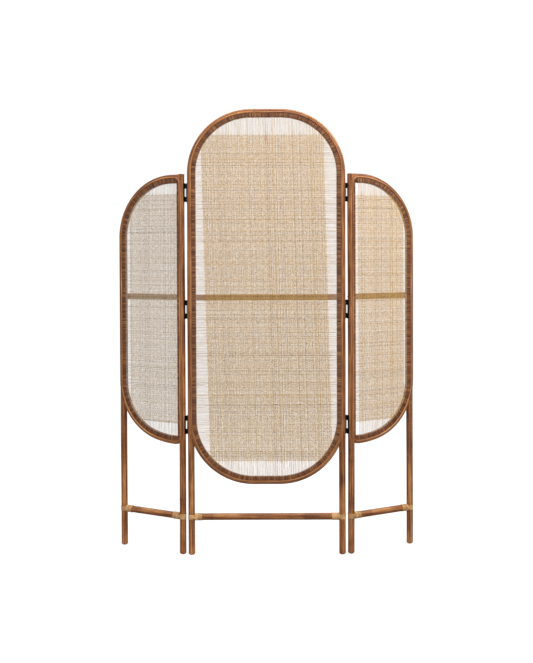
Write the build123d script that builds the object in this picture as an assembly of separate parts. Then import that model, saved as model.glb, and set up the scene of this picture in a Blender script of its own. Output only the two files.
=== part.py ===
from build123d import *
import math
import os

os.makedirs("parts", exist_ok=True)

# A folding room divider screen in millimetres: a wide centre panel and two half-width side
# panels, made of bent rattan pole and hinged together. Z is up and the front faces -Y. The
# origin is on the floor, at the middle of the screen as it stands with its sides part folded.
#
# Each panel is drawn flat in its own frame: x runs across it, z is up, and the centre lines of
# its poles lie at y = 0. A "depth" is a distance forward of that plane, so it is -y. An "inset"
# is a distance in from the outer face of the poles. A side panel's x = 0 is its hinge leg.

# Poles
POLE_RADIUS = 13.5
LEG_END_CHAMFER = 5.0
POLE_TOP_CHAMFER = 1.2

# Centre panel
CENTRE_WIDTH = 638.0
CENTRE_HEIGHT = 1800.0
CENTRE_TOP_RADIUS = 258.0
CENTRE_RING_BOTTOM = 287.0
CENTRE_BOTTOM_RADIUS = 264.0

# Side panels
SIDE_WIDTH = 317.0
SIDE_HEIGHT = 1540.0
SIDE_TOP_RADIUS = 257.0
SIDE_RING_BOTTOM = 446.0
SIDE_CORNER_RADIUS = 237.0
SIDE_SWEEP_RADIUS = 365.0
SIDE_CORNER_ANGLE = 74.0
HINGE_CORNER_RADIUS = 36.0
FOLD_AT_REST = 28.0

# Section through the rim of a panel, from the outer face of the pole inward
RING_INSET = 3.0
BEAD_INSET = 11.0
BAND_INSET = 18.0
CENTRE_OPENING_INSET = 35.0
SIDE_OPENING_INSET = 36.5
HINGE_SIDE_SHIFT = 1.5
HINGE_SIDE_OPENING_INSET = 27.0
RING_BACK_DEPTH = 1.5
RING_FRONT_DEPTH = 13.5
RING_EDGE_RADIUS = 3.0
CLOTH_THICKNESS = 0.8
BAND_THICKNESS = 1.2

# Rails
CROSSBAR_RADIUS = 12.0
CROSSBAR_Y = 1.0
CROSSBAR_HEIGHT = 1042.0
STRETCHER_RADIUS = 13.5
STRETCHER_HEIGHT = 153.0
LEG_BINDING_THICKNESS = 1.1
LEG_BINDING_HEIGHT = 20.0
RAIL_BINDING_THICKNESS = 1.7
RAIL_BINDING_LENGTH = 30.0

# Hinges: the barrel stands behind the poles, so that a side panel folds flat behind the centre
HINGE_HEIGHTS = {"lower": 525.0, "middle": 993.0, "upper": 1465.0}
BARREL_X = 15.2
BARREL_Y = 16.5
BARREL_RADIUS = 4.2
PIN_RADIUS = 2.0
PIN_HEAD_RADIUS = 3.0
PIN_HEAD_HEIGHT = 1.2
PIN_RUNNING_CLEARANCE = 0.06
SLEEVE_RADIUS = 3.5
SLEEVE_END_GAP = 0.2
KNUCKLE_HEIGHT = 10.0
KNUCKLE_GAP = 0.4
KNUCKLE_GROUP_OFFSET = 27.0
LEAF_HEIGHT = 76.0
LEAF_THICKNESS = 1.2
LEAF_FLAT_DEPTH = 0.9
LEAF_FRONT_Y = -21.5
LEAF_BACK_Y = -5.3
LEAF_CORNER_RADIUS = 3.0
LEAF_NOTCH_HEIGHT = 32.0
LEAF_NOTCH_Y = -11.6
LEAF_SCREW_OFFSETS = (-26.0, 0.0, 26.0)
LEAF_SCREW_Y = 0.8

# Screws: (head radius, head height, shank radius, length)
LEAF_SCREW = (3.0, 1.3, 1.6, 16.0)
FRAME_SCREW = (3.6, 2.0, 1.8, 20.0)
RAIL_SCREW = (3.6, 2.0, 2.0, 52.0)
RAIL_SCREW_Y = 4.0
FRAME_SCREW_SINK = 0.8
RAIL_SCREW_SINK = 1.4
HOLE_MOUTH = 8.0
CENTRE_SCREW_HEIGHTS = (640.0, 900.0, 1200.0, 1480.0)
SIDE_SCREW_HEIGHTS = (660.0, 900.0, 1200.0)
ARCH_SCREW_ANGLE = 45.0

CENTRE_LEG_X = CENTRE_WIDTH / 2 - POLE_RADIUS
SIDE_LEG_X = SIDE_WIDTH - 2 * POLE_RADIUS
SIDE_OUTER_X = SIDE_WIDTH - POLE_RADIUS
BEAD_RADIUS = (BAND_INSET - BEAD_INSET) / 2
BEAD_PATH_INSET = BEAD_INSET + BEAD_RADIUS
CLOTH_DEPTH = RING_FRONT_DEPTH + CLOTH_THICKNESS

# The screen's depth runs from the bead of the centre panel to the binding on the outer legs.
FOLD = math.radians(FOLD_AT_REST)
FRONT_Y = -(RING_FRONT_DEPTH + BEAD_RADIUS)
BACK_Y = (
    BARREL_Y
    + (BARREL_X + SIDE_LEG_X) * math.sin(FOLD)
    - BARREL_Y * math.cos(FOLD)
    + POLE_RADIUS
    + LEG_BINDING_THICKNESS
)
CENTRE_PLANE_Y = -(FRONT_Y + BACK_Y) / 2


def centre_outline(inset):
    """The closed outline of the centre panel's rim, at an inset from its poles' outer face."""
    half = CENTRE_WIDTH / 2 - inset
    top = CENTRE_HEIGHT - inset
    bottom = CENTRE_RING_BOTTOM + inset - RING_INSET
    top_radius = CENTRE_TOP_RADIUS - inset
    bottom_radius = CENTRE_BOTTOM_RADIUS + RING_INSET - inset
    shoulder = top - top_radius
    haunch = bottom + bottom_radius
    return [
        Line((half, haunch), (half, shoulder)),
        CenterArc((half - top_radius, shoulder), top_radius, 0, 90),
        Line((half - top_radius, top), (top_radius - half, top)),
        CenterArc((top_radius - half, shoulder), top_radius, 90, 90),
        Line((-half, shoulder), (-half, haunch)),
        CenterArc((bottom_radius - half, haunch), bottom_radius, 180, 90),
        Line((bottom_radius - half, bottom), (half - bottom_radius, bottom)),
        CenterArc((half - bottom_radius, haunch), bottom_radius, 270, 90),
    ]


def side_outline(inset, hinge_inset):
    """The closed outline of a side panel's rim. Its outer bottom corner is two tangent arcs."""
    right = SIDE_OUTER_X - inset
    left = hinge_inset - POLE_RADIUS
    top = SIDE_HEIGHT - inset
    bottom = SIDE_RING_BOTTOM + inset - RING_INSET
    top_radius = SIDE_TOP_RADIUS - inset
    hinge_radius = HINGE_CORNER_RADIUS + RING_INSET - inset
    corner_radius = SIDE_CORNER_RADIUS + RING_INSET - inset
    sweep_radius = SIDE_SWEEP_RADIUS + RING_INSET - inset
    turn = math.radians(SIDE_CORNER_ANGLE)
    step = sweep_radius - corner_radius
    corner_x = right - corner_radius
    sweep_x = corner_x - step * math.cos(turn)
    sweep_z = bottom + sweep_radius
    corner_z = sweep_z - step * math.sin(turn)
    return [
        Line((right, corner_z), (right, top - top_radius)),
        CenterArc((right - top_radius, top - top_radius), top_radius, 0, 90),
        Line((right - top_radius, top), (left + hinge_radius, top)),
        CenterArc((left + hinge_radius, top - hinge_radius), hinge_radius, 90, 90),
        Line((left, top - hinge_radius), (left, bottom + hinge_radius)),
        CenterArc((left + hinge_radius, bottom + hinge_radius), hinge_radius, 180, 90),
        Line((left + hinge_radius, bottom), (sweep_x, bottom)),
        CenterArc((sweep_x, sweep_z), sweep_radius, 270, 90 - SIDE_CORNER_ANGLE),
        CenterArc((corner_x, corner_z), corner_radius, -SIDE_CORNER_ANGLE, SIDE_CORNER_ANGLE),
    ]


def slab(outline, back_depth, front_depth):
    """A flat plate with the given outline, between two depths."""
    face = Plane.XZ.offset(back_depth) * make_face(outline)
    return extrude(face, amount=front_depth - back_depth, dir=(0, -1, 0))


def frame_strip(outer, inner, back_depth, front_depth):
    """A closed strip between two outlines."""
    return slab(outer, back_depth, front_depth) - slab(inner, back_depth, front_depth)


def pole_along(edges, start_x):
    """A round pole that follows a route drawn in x and z, upward from the floor."""
    path = Plane.XZ * Wire(edges)
    section = Pos(start_x, 0, 0) * Circle(POLE_RADIUS)
    return sweep(section, path=path)


def bead_along(outline, start, ring):
    """A half-round bead: a round one with its back half cut off by the ring's front face."""
    start_x, start_z = start
    path = Plane.XZ.offset(RING_FRONT_DEPTH) * Wire(outline)
    section = Pos(start_x, -RING_FRONT_DEPTH, start_z) * Circle(BEAD_RADIUS)
    return sweep(section, path=path) - ring


def soften_end(pole, size, which=0):
    """Chamfer the round edge of a pole's lowest end, or of its highest, which is -1."""
    ends = pole.edges().filter_by(GeomType.CIRCLE).group_by(Axis.Z)
    return chamfer(ends[which], size)


def rail(start_x, end_x, y, z, radius):
    """A round rail across a panel, before its ends are shaped to the legs."""
    placed = Pos((start_x + end_x) / 2, y, z) * Rot(0, 90, 0)
    return placed * Cylinder(radius, end_x - start_x)


def screw(size):
    """A countersunk screw with its head's top at the origin and its point along -Z."""
    head_radius, head_height, shank_radius, length = size
    profile = Polyline(
        (0, 0),
        (head_radius, 0),
        (shank_radius, -head_height),
        (shank_radius, -length + shank_radius),
        (0, -length),
        close=True,
    )
    return revolve(Plane.XZ * make_face(profile), axis=Axis.Z)


def one_node(shapes):
    """Separate solids that are saved as one node."""
    return Compound(children=[Solid(shape.solid().wrapped) for shape in shapes])


def mirrored(shape):
    """The left-hand copy of a right-hand shape."""
    copies = [solid.mirror(Plane.YZ) for solid in shape.solids()]
    return copies[0] if len(copies) == 1 else one_node(copies)


def screws(places, size):
    """One screw at each place, as one node of separate solids."""
    return one_node([place * screw(size) for place in places])


def holes(places, size):
    """The hole of each screw, open above its sunk head."""
    mouth = Pos(0, 0, HOLE_MOUTH / 2) * Cylinder(size[0], HOLE_MOUTH)
    return [place * (screw(size) + mouth) for place in places]


def frame_screw_places(points):
    """Places for screws from behind, through a pole and into the ring in front of it."""
    return [Pos(x, POLE_RADIUS - FRAME_SCREW_SINK, z) * Rot(-90, 0, 0) for x, z in points]


def rail_screw_places(leg_x, outward):
    """Places for a screw through a leg into the end of each rail, from the leg's outer side."""
    head_x = leg_x + outward * (POLE_RADIUS - RAIL_SCREW_SINK)
    turn = Rot(0, 90 * outward, 0)
    return [
        Pos(head_x, RAIL_SCREW_Y, CROSSBAR_HEIGHT) * turn,
        Pos(head_x, 0, STRETCHER_HEIGHT) * turn,
    ]


def binding(leg_x, outward):
    """Peel wound round a leg and round the end of its stretcher, as one sleeve of each."""
    leg_core = Pos(leg_x, 0, STRETCHER_HEIGHT) * Cylinder(POLE_RADIUS, 3 * LEG_BINDING_HEIGHT)
    leg_sleeve = Pos(leg_x, 0, STRETCHER_HEIGHT) * Cylinder(
        POLE_RADIUS + LEG_BINDING_THICKNESS, LEG_BINDING_HEIGHT
    )
    reach = leg_x - outward * (POLE_RADIUS + RAIL_BINDING_LENGTH)
    low, high = sorted((leg_x, reach))
    sleeve_radius = STRETCHER_RADIUS + RAIL_BINDING_THICKNESS
    rail_sleeve = rail(low, high, 0, STRETCHER_HEIGHT, sleeve_radius)
    rail_core = rail(min(leg_x, reach) - 1, max(leg_x, reach) + 1, 0, STRETCHER_HEIGHT,
                     STRETCHER_RADIUS)
    outer_half = Pos(leg_x + outward * 50, 0, STRETCHER_HEIGHT) * Box(100, 100, 100)
    return leg_sleeve + (rail_sleeve - outer_half) - leg_core - (rail_core - outer_half)


def leaf_seat(leg_x, outward, height):
    """The shallow flat that a hinge leaf lies on, cut in the outer side of a leg."""
    flat_x = leg_x + outward * (POLE_RADIUS - LEAF_FLAT_DEPTH)
    return Pos(flat_x + outward * 5, 0, height) * Box(10, 2 * POLE_RADIUS, LEAF_HEIGHT)


def leaf_screw_places(leg_x, outward):
    """Places for the screws of the three leaves on one leg, flush with the leaves."""
    head_x = leg_x + outward * (POLE_RADIUS - LEAF_FLAT_DEPTH + LEAF_THICKNESS)
    return [
        Pos(head_x, LEAF_SCREW_Y, height + offset) * Rot(0, 90 * outward, 0)
        for height in HINGE_HEIGHTS.values()
        for offset in LEAF_SCREW_OFFSETS
    ]


def cut(shape, tools):
    """A shape with every tool cut out of it."""
    for tool in tools:
        shape = shape - tool
    return shape


def soften_ring(ring):
    """Round the ring's front outer edge."""
    front = ring.faces().filter_by(Axis.Y).sort_by(Axis.Y)[0]
    return fillet(front.outer_wire().edges(), RING_EDGE_RADIUS)


def rim_pieces(outline, opening, bead_path, bead_start, band):
    """The ring, bead, band and cloth of a panel, and the rebate that lets the ring into a pole."""
    ring = frame_strip(outline, opening, RING_BACK_DEPTH, RING_FRONT_DEPTH)
    return {
        "rebate": slab(outline, RING_BACK_DEPTH, 2 * POLE_RADIUS),
        "ring": ring,
        "bead": bead_along(bead_path, bead_start, ring),
        "band": frame_strip(band, opening, CLOTH_DEPTH, CLOTH_DEPTH + BAND_THICKNESS),
        "cloth": slab(band, RING_FRONT_DEPTH, CLOTH_DEPTH),
    }


def centre_pole():
    """One pole bent into both legs and the arch over them."""
    radius = CENTRE_TOP_RADIUS - POLE_RADIUS
    shoulder = CENTRE_HEIGHT - CENTRE_TOP_RADIUS
    crown = CENTRE_HEIGHT - POLE_RADIUS
    bend_x = CENTRE_LEG_X - radius
    route = [
        Line((CENTRE_LEG_X, 0), (CENTRE_LEG_X, shoulder)),
        CenterArc((bend_x, shoulder), radius, 0, 90),
        Line((bend_x, crown), (-bend_x, crown)),
        CenterArc((-bend_x, shoulder), radius, 90, 90),
        Line((-CENTRE_LEG_X, shoulder), (-CENTRE_LEG_X, 0)),
    ]
    return soften_end(pole_along(route, CENTRE_LEG_X), LEG_END_CHAMFER)


def hinge_leg():
    """The straight leg of a side panel, cut flat at its top."""
    leg = Pos(0, 0, SIDE_HEIGHT / 2) * Cylinder(POLE_RADIUS, SIDE_HEIGHT)
    leg = soften_end(leg, LEG_END_CHAMFER)
    return soften_end(leg, POLE_TOP_CHAMFER, which=-1)


def bent_pole():
    """The outer leg of a side panel, bent over at the top to meet the hinge leg."""
    radius = SIDE_TOP_RADIUS - POLE_RADIUS
    shoulder = SIDE_HEIGHT - SIDE_TOP_RADIUS
    crown = SIDE_HEIGHT - POLE_RADIUS
    bend_x = SIDE_LEG_X - radius
    route = [
        Line((SIDE_LEG_X, 0), (SIDE_LEG_X, shoulder)),
        CenterArc((bend_x, shoulder), radius, 0, 90),
        Line((bend_x, crown), (0, crown)),
    ]
    pole = soften_end(pole_along(route, SIDE_LEG_X), LEG_END_CHAMFER)
    return pole - Pos(0, 0, SIDE_HEIGHT / 2) * Cylinder(POLE_RADIUS, SIDE_HEIGHT + 40)


def arch_screw_place(bend_x, shoulder, radius, direction):
    """Where the pole's centre line is at the middle of a bend."""
    angle = math.radians(ARCH_SCREW_ANGLE)
    return bend_x + direction * radius * math.cos(angle), shoulder + radius * math.sin(angle)


def centre_panel():
    """Every piece of the centre panel but its hinges, drawn flat."""
    pieces = rim_pieces(
        centre_outline(RING_INSET),
        centre_outline(CENTRE_OPENING_INSET),
        centre_outline(BEAD_PATH_INSET),
        (CENTRE_WIDTH / 2 - BEAD_PATH_INSET, CENTRE_RING_BOTTOM + CENTRE_BOTTOM_RADIUS),
        centre_outline(BAND_INSET),
    )
    radius = CENTRE_TOP_RADIUS - POLE_RADIUS
    shoulder = CENTRE_HEIGHT - CENTRE_TOP_RADIUS
    places = [(side * CENTRE_LEG_X, z) for side in (-1, 1) for z in CENTRE_SCREW_HEIGHTS]
    places += [
        arch_screw_place(side * (CENTRE_LEG_X - radius), shoulder, radius, side)
        for side in (-1, 1)
    ]
    places.append((0, CENTRE_HEIGHT - POLE_RADIUS))
    from_behind = frame_screw_places(places)
    into_rails = rail_screw_places(-CENTRE_LEG_X, -1) + rail_screw_places(CENTRE_LEG_X, 1)
    into_leaves = leaf_screw_places(-CENTRE_LEG_X, -1) + leaf_screw_places(CENTRE_LEG_X, 1)
    ring_holes = holes(from_behind, FRAME_SCREW)
    rail_holes = holes(into_rails, RAIL_SCREW)
    leaf_holes = holes(into_leaves, LEAF_SCREW)
    seats = [
        leaf_seat(side * CENTRE_LEG_X, side, height)
        for side in (-1, 1)
        for height in HINGE_HEIGHTS.values()
    ]
    whole_pole = centre_pole()
    crossbar = rail(-CENTRE_LEG_X, CENTRE_LEG_X, CROSSBAR_Y, CROSSBAR_HEIGHT, CROSSBAR_RADIUS)
    stretcher = rail(-CENTRE_LEG_X, CENTRE_LEG_X, 0, STRETCHER_HEIGHT, STRETCHER_RADIUS)
    pieces["crossbar"] = cut(crossbar, [whole_pole, pieces["ring"], *rail_holes])
    pieces["stretcher"] = cut(stretcher, [whole_pole, *rail_holes])
    tools = [pieces.pop("rebate"), *seats, *ring_holes, *rail_holes, *leaf_holes]
    pieces["pole"] = cut(whole_pole, tools)
    pieces["ring"] = cut(soften_ring(pieces["ring"]), ring_holes)
    pieces["left_binding"] = binding(-CENTRE_LEG_X, -1)
    pieces["right_binding"] = binding(CENTRE_LEG_X, 1)
    pieces["frame_screws"] = screws(from_behind, FRAME_SCREW)
    pieces["rail_screws"] = screws(into_rails, RAIL_SCREW)
    return pieces


def side_panel():
    """Every piece of the right side panel but its hinges, drawn flat."""
    shift = HINGE_SIDE_SHIFT
    hinge_bead_inset = BEAD_PATH_INSET + shift
    bottom_edge = SIDE_RING_BOTTOM + BEAD_PATH_INSET - RING_INSET
    pieces = rim_pieces(
        side_outline(RING_INSET, RING_INSET + shift),
        side_outline(SIDE_OPENING_INSET, HINGE_SIDE_OPENING_INSET),
        side_outline(BEAD_PATH_INSET, hinge_bead_inset),
        (
            SIDE_OUTER_X - BEAD_PATH_INSET,
            bottom_edge
            + SIDE_SWEEP_RADIUS + RING_INSET - BEAD_PATH_INSET
            - (SIDE_SWEEP_RADIUS - SIDE_CORNER_RADIUS)
            * math.sin(math.radians(SIDE_CORNER_ANGLE)),
        ),
        side_outline(BAND_INSET, BAND_INSET + shift),
    )
    radius = SIDE_TOP_RADIUS - POLE_RADIUS
    shoulder = SIDE_HEIGHT - SIDE_TOP_RADIUS
    places = [(x, z) for x in (0, SIDE_LEG_X) for z in SIDE_SCREW_HEIGHTS]
    places.append(arch_screw_place(SIDE_LEG_X - radius, shoulder, radius, 1))
    from_behind = frame_screw_places(places)
    into_rails = rail_screw_places(0, -1) + rail_screw_places(SIDE_LEG_X, 1)
    into_leaves = leaf_screw_places(0, -1)
    ring_holes = holes(from_behind, FRAME_SCREW)
    rail_holes = holes(into_rails, RAIL_SCREW)
    leg, pole = hinge_leg(), bent_pole()
    crossbar = rail(0, SIDE_LEG_X, CROSSBAR_Y, CROSSBAR_HEIGHT, CROSSBAR_RADIUS)
    stretcher = rail(0, SIDE_LEG_X, 0, STRETCHER_HEIGHT, STRETCHER_RADIUS)
    pieces["crossbar"] = cut(crossbar, [leg, pole, pieces["ring"], *rail_holes])
    pieces["stretcher"] = cut(stretcher, [leg, pole, *rail_holes])
    tools = [pieces.pop("rebate"), *ring_holes, *rail_holes]
    seats = [leaf_seat(0, -1, height) for height in HINGE_HEIGHTS.values()]
    pieces["hinge_leg"] = cut(leg, [*tools, *seats, *holes(into_leaves, LEAF_SCREW)])
    pieces["bent_pole"] = cut(pole, tools)
    pieces["ring"] = cut(soften_ring(pieces["ring"]), ring_holes)
    pieces["hinge_binding"] = binding(0, -1)
    pieces["outer_binding"] = binding(SIDE_LEG_X, 1)
    pieces["frame_screws"] = screws(from_behind, FRAME_SCREW)
    pieces["rail_screws"] = screws(into_rails, RAIL_SCREW)
    pieces["leaf_screws"] = screws(into_leaves, LEAF_SCREW)
    return pieces


def leaf(side, height, own_knuckles, bore):
    """A hinge leaf about the barrel's axis. side is -1 for the centre's leaf and 1 for the other."""
    inner_x = side * (BARREL_X - POLE_RADIUS + LEAF_FLAT_DEPTH - LEAF_THICKNESS / 2)
    depth = LEAF_BACK_Y - LEAF_FRONT_Y
    plate = Pos(inner_x, (LEAF_BACK_Y + LEAF_FRONT_Y) / 2, height) * Box(
        LEAF_THICKNESS, depth, LEAF_HEIGHT
    )
    plate = fillet(plate.edges().filter_by(Axis.X), LEAF_CORNER_RADIUS)
    notch_depth = LEAF_BACK_Y - LEAF_NOTCH_Y
    plate -= Pos(inner_x, LEAF_NOTCH_Y + notch_depth, height) * Box(
        2 * LEAF_THICKNESS, 2 * notch_depth, LEAF_NOTCH_HEIGHT
    )
    for centre_z in own_knuckles:
        bridge = Pos(inner_x, LEAF_BACK_Y / 2 - LEAF_CORNER_RADIUS, height + centre_z)
        length = -LEAF_BACK_Y + 2 * LEAF_CORNER_RADIUS
        plate += bridge * Box(LEAF_THICKNESS, length, KNUCKLE_HEIGHT - KNUCKLE_GAP / 2)
        plate += Pos(0, 0, height + centre_z) * Cylinder(
            BARREL_RADIUS, KNUCKLE_HEIGHT - KNUCKLE_GAP / 2
        )
    return plate - Pos(0, 0, height) * Cylinder(bore, 2 * LEAF_HEIGHT)


def pin(height):
    """A hinge's long pin, with a head at each end and a sleeve round its bare middle."""
    knuckles_end = KNUCKLE_GROUP_OFFSET + KNUCKLE_HEIGHT
    sleeve_end = KNUCKLE_GROUP_OFFSET - KNUCKLE_HEIGHT - SLEEVE_END_GAP
    whole = Cylinder(PIN_RADIUS, 2 * knuckles_end) + Cylinder(SLEEVE_RADIUS, 2 * sleeve_end)
    for up in (-1, 1):
        head_z = up * (knuckles_end + PIN_HEAD_HEIGHT / 2)
        whole += Pos(0, 0, head_z) * Cylinder(PIN_HEAD_RADIUS, PIN_HEAD_HEIGHT)
    return Pos(0, 0, height) * whole


def hinge(height):
    """The centre's leaf, the side's leaf and the pin, about the barrel's axis, opened flat."""
    outer = KNUCKLE_GROUP_OFFSET + (KNUCKLE_HEIGHT + KNUCKLE_GAP / 2) / 2
    inner = KNUCKLE_GROUP_OFFSET - (KNUCKLE_HEIGHT + KNUCKLE_GAP / 2) / 2
    fixed = leaf(-1, height, (-outer, outer), PIN_RADIUS)
    moving = leaf(1, height, (-inner, inner), PIN_RADIUS + PIN_RUNNING_CLEARANCE)
    leg_plane = Pos(0, -BARREL_Y, 0)
    fixed_places = [leg_plane * place for place in leaf_screw_places(-BARREL_X, 1)]
    moving_places = [leg_plane * place for place in leaf_screw_places(BARREL_X, -1)]
    return {
        "fixed_leaf": cut(fixed, holes(fixed_places, LEAF_SCREW)),
        "moving_leaf": cut(moving, holes(moving_places, LEAF_SCREW)),
        "pin": pin(height),
    }


def save(name, shape):
    """Write one node."""
    export_step(shape, f"parts/{name}.step")


def main():
    in_plane = Pos(0, CENTRE_PLANE_Y, 0)
    for name, shape in centre_panel().items():
        save(f"centre_{name}", in_plane * shape)

    to_axis = Pos(CENTRE_LEG_X + BARREL_X, CENTRE_PLANE_Y + BARREL_Y, 0)
    folded = to_axis * Rot(0, 0, FOLD_AT_REST)
    from_leg = Pos(BARREL_X, -BARREL_Y, 0)
    right = {f"_{name}": folded * from_leg * shape for name, shape in side_panel().items()}
    for level, height in HINGE_HEIGHTS.items():
        made = hinge(height)
        right[f"_{level}_hinge_fixed_leaf"] = to_axis * made["fixed_leaf"]
        right[f"_{level}_hinge_moving_leaf"] = folded * made["moving_leaf"]
        right[f"_{level}_hinge_pin"] = to_axis * made["pin"]
    right["_centre_leaf_screws"] = in_plane * screws(leaf_screw_places(CENTRE_LEG_X, 1), LEAF_SCREW)
    for name, shape in right.items():
        save(f"right{name}", shape)
        save(f"left{name}", mirrored(shape))

    print("barrel axis", CENTRE_LEG_X + BARREL_X, CENTRE_PLANE_Y + BARREL_Y)
    print("centre plane y", CENTRE_PLANE_Y)


main()
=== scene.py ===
import math

import bpy
import numpy as np
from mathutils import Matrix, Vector


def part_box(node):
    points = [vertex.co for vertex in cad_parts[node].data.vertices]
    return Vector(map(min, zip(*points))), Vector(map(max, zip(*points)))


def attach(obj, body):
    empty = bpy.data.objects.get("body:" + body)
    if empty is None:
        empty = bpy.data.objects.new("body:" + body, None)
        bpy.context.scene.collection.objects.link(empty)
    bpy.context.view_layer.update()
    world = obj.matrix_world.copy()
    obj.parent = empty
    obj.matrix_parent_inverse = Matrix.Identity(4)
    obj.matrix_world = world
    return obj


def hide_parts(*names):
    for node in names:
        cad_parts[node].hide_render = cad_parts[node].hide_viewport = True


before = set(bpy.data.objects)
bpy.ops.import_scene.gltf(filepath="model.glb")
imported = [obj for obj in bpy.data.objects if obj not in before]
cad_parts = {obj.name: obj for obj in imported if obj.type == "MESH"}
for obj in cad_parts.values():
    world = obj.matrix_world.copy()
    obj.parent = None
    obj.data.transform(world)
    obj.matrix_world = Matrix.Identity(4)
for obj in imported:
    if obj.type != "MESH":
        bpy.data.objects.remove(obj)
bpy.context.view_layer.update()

# A folding screen in rattan and raffia. Everything is in metres, in the frame of the CAD model.
# A panel is drawn flat in its own frame: x across it, z up, and "depth" forward of the plane of
# its poles. A route is a line through that frame, and an "inset" is a distance to its left.

MM = 0.001

# Poles and rails. Wander is how far a pole strays from its route. Heights at the growth
# nodes, and POLE_MEAN and POLE_THICKEST, are shares of the pole's radius.
POLE_RADIUS = 13.5 * MM
POLE_SIDES = 28
POLE_STEP = 0.014
LEG_CUT = 5 * MM
HINGE_LEG_TOP_CUT = 1.2 * MM
POLE_NODE_SPACING = 0.45
RAIL_NODE_SPACING = 0.3
POLE_WANDER = 0.0005
RAIL_WANDER = 0.0003
NODE_RIDGE_REACH = 0.0022
NODE_RIDGE_HEIGHT = 0.022
NODE_COLLAR_REACH = 0.009
NODE_COLLAR_HEIGHT = 0.012
END_ROUNDING = 1.25
POLE_MEAN = 0.990
POLE_THICKEST = 1.02
CROSSBAR_RADIUS = 12.0 * MM
CROSSBAR_Y = 1.0 * MM
CROSSBAR_HEIGHT = 1042.0 * MM
STRETCHER_HEIGHT = 153.0 * MM

# Outlines of the panels: the outer face of the ring, and the bends of the poles
RING_INSET = 3.0 * MM
CENTRE_HALF = 319.0 * MM
CENTRE_HEIGHT = 1800.0 * MM
CENTRE_TOP_RADIUS = 258.0 * MM
CENTRE_RING_BOTTOM = 287.0 * MM
CENTRE_BOTTOM_RADIUS = 264.0 * MM
SIDE_OUTER_X = 303.5 * MM
SIDE_HEIGHT = 1540.0 * MM
SIDE_TOP_RADIUS = 257.0 * MM
SIDE_RING_BOTTOM = 446.0 * MM
SIDE_CORNER_RADIUS = 237.0 * MM
SIDE_SWEEP_RADIUS = 365.0 * MM
SIDE_CORNER_ANGLE = math.radians(74)
HINGE_CORNER_RADIUS = 36.0 * MM
HINGE_RING_X = -9.0 * MM
HINGE_OPENING_X = 13.5 * MM
HINGE_CORNER_END = 60.0 * MM
FOLD_AT_REST = math.radians(28)

# Section through the rim, inward from the outer face of the ring
CENTRE_RING_WIDTH = 32.0 * MM
SIDE_RING_WIDTH = 33.5 * MM
RING_BACK = 1.5 * MM
RING_FRONT = 13.5 * MM
BEAD_MIDDLE = 11.5 * MM
BEAD_RADIUS = 3.5 * MM
BAND_START = 15.0 * MM
BAND_FRONT = 15.0 * MM
BAND_PITCH = 3.2 * MM

# Cloth. Unevenness of the places is a share of the pitch, and of the width a share of it.
THREAD_PITCH = 3.7 * MM
CLOTH_DEPTH = 14.0 * MM
THREAD_LIFT = 0.45 * MM
THREAD_TUCK = 2.0 * MM
OUTLINE_POINTS = 900
THREAD_SWAY = 0.26 * MM
THREAD_SWAY_LENGTH = 0.04
THREAD_WIDTH_CHANGE = 0.15
THREAD_WIDTH_LENGTH = 0.018
THREAD_WIDTH_JITTER = 0.13
THREAD_FREE_STEP = 0.025
THICK_THREAD_CHANCE = 0.04
THICK_THREAD_WIDTH = 1.35
DARK_THREAD_CHANCE = 0.12
WARP_UNEVEN = 0.09
WEFT_UNEVEN = 0.085
MARK_PLACE = (0.0, 0.0, 1.682)
MARK_SIZE = (0.009, 1.0, 0.016)
MARK_COLOUR = (0.430, 0.150, 0.004)

# Peel wound round the joints of the legs and stretchers
PEEL_STEPS = 32
LEG_TURNS = 4
LEG_TURN_PITCH = 4.9 * MM
LEG_TURN_WIDTH = 5.4 * MM
RAIL_TURNS = 5
RAIL_TURN_PITCH = 5.9 * MM
RAIL_TURN_WIDTH = 6.4 * MM
CROSSING_STEPS = 14
CROSSING_WIDTH = 5.6 * MM


# ---------------------------------------------------------------- routes
def line(x0, z0, x1, z1):
    """A straight stretch of a route, between two points."""
    return ("line", x0, z0, x1, z1)


def arc(x, z, radius, start, turn):
    """A curved stretch: its centre and radius, the angle it starts at and how far it turns."""
    return ("arc", x, z, radius, start, turn)


def stretch_length(stretch):
    """The length of one stretch of a route."""
    if stretch[0] == "line":
        return math.hypot(stretch[3] - stretch[1], stretch[4] - stretch[2])
    return stretch[3] * abs(stretch[5])


def route_length(route):
    """The length of a whole route."""
    return sum(stretch_length(stretch) for stretch in route)


def route_at(route, s):
    """The point of a route at arc length s, and the unit vector to its left."""
    for stretch in route:
        length = stretch_length(stretch)
        if s <= length or stretch is route[-1]:
            break
        s -= length
    if stretch[0] == "line":
        _, x0, z0, x1, z1 = stretch
        tx, tz = (x1 - x0) / length, (z1 - z0) / length
        return (x0 + tx * s, z0 + tz * s), (-tz, tx)
    _, x, z, radius, start, turn = stretch
    angle = start + turn * s / length
    side = 1 if turn > 0 else -1
    out = math.cos(angle), math.sin(angle)
    return (x + radius * out[0], z + radius * out[1]), (-side * out[0], -side * out[1])


def centre_ring_route():
    """Round the outer face of the centre ring, up its right side first."""
    half = CENTRE_HALF - RING_INSET
    top = CENTRE_TOP_RADIUS - RING_INSET
    shoulder = CENTRE_HEIGHT - CENTRE_TOP_RADIUS
    low = CENTRE_BOTTOM_RADIUS
    haunch = CENTRE_RING_BOTTOM + low
    crown = CENTRE_HEIGHT - RING_INSET
    quarter = math.pi / 2
    return [
        line(half, haunch, half, shoulder),
        arc(half - top, shoulder, top, 0, quarter),
        line(half - top, crown, top - half, crown),
        arc(top - half, shoulder, top, quarter, quarter),
        line(-half, shoulder, -half, haunch),
        arc(low - half, haunch, low, math.pi, quarter),
        line(low - half, CENTRE_RING_BOTTOM, half - low, CENTRE_RING_BOTTOM),
        arc(half - low, haunch, low, -quarter, quarter),
    ]


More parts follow.
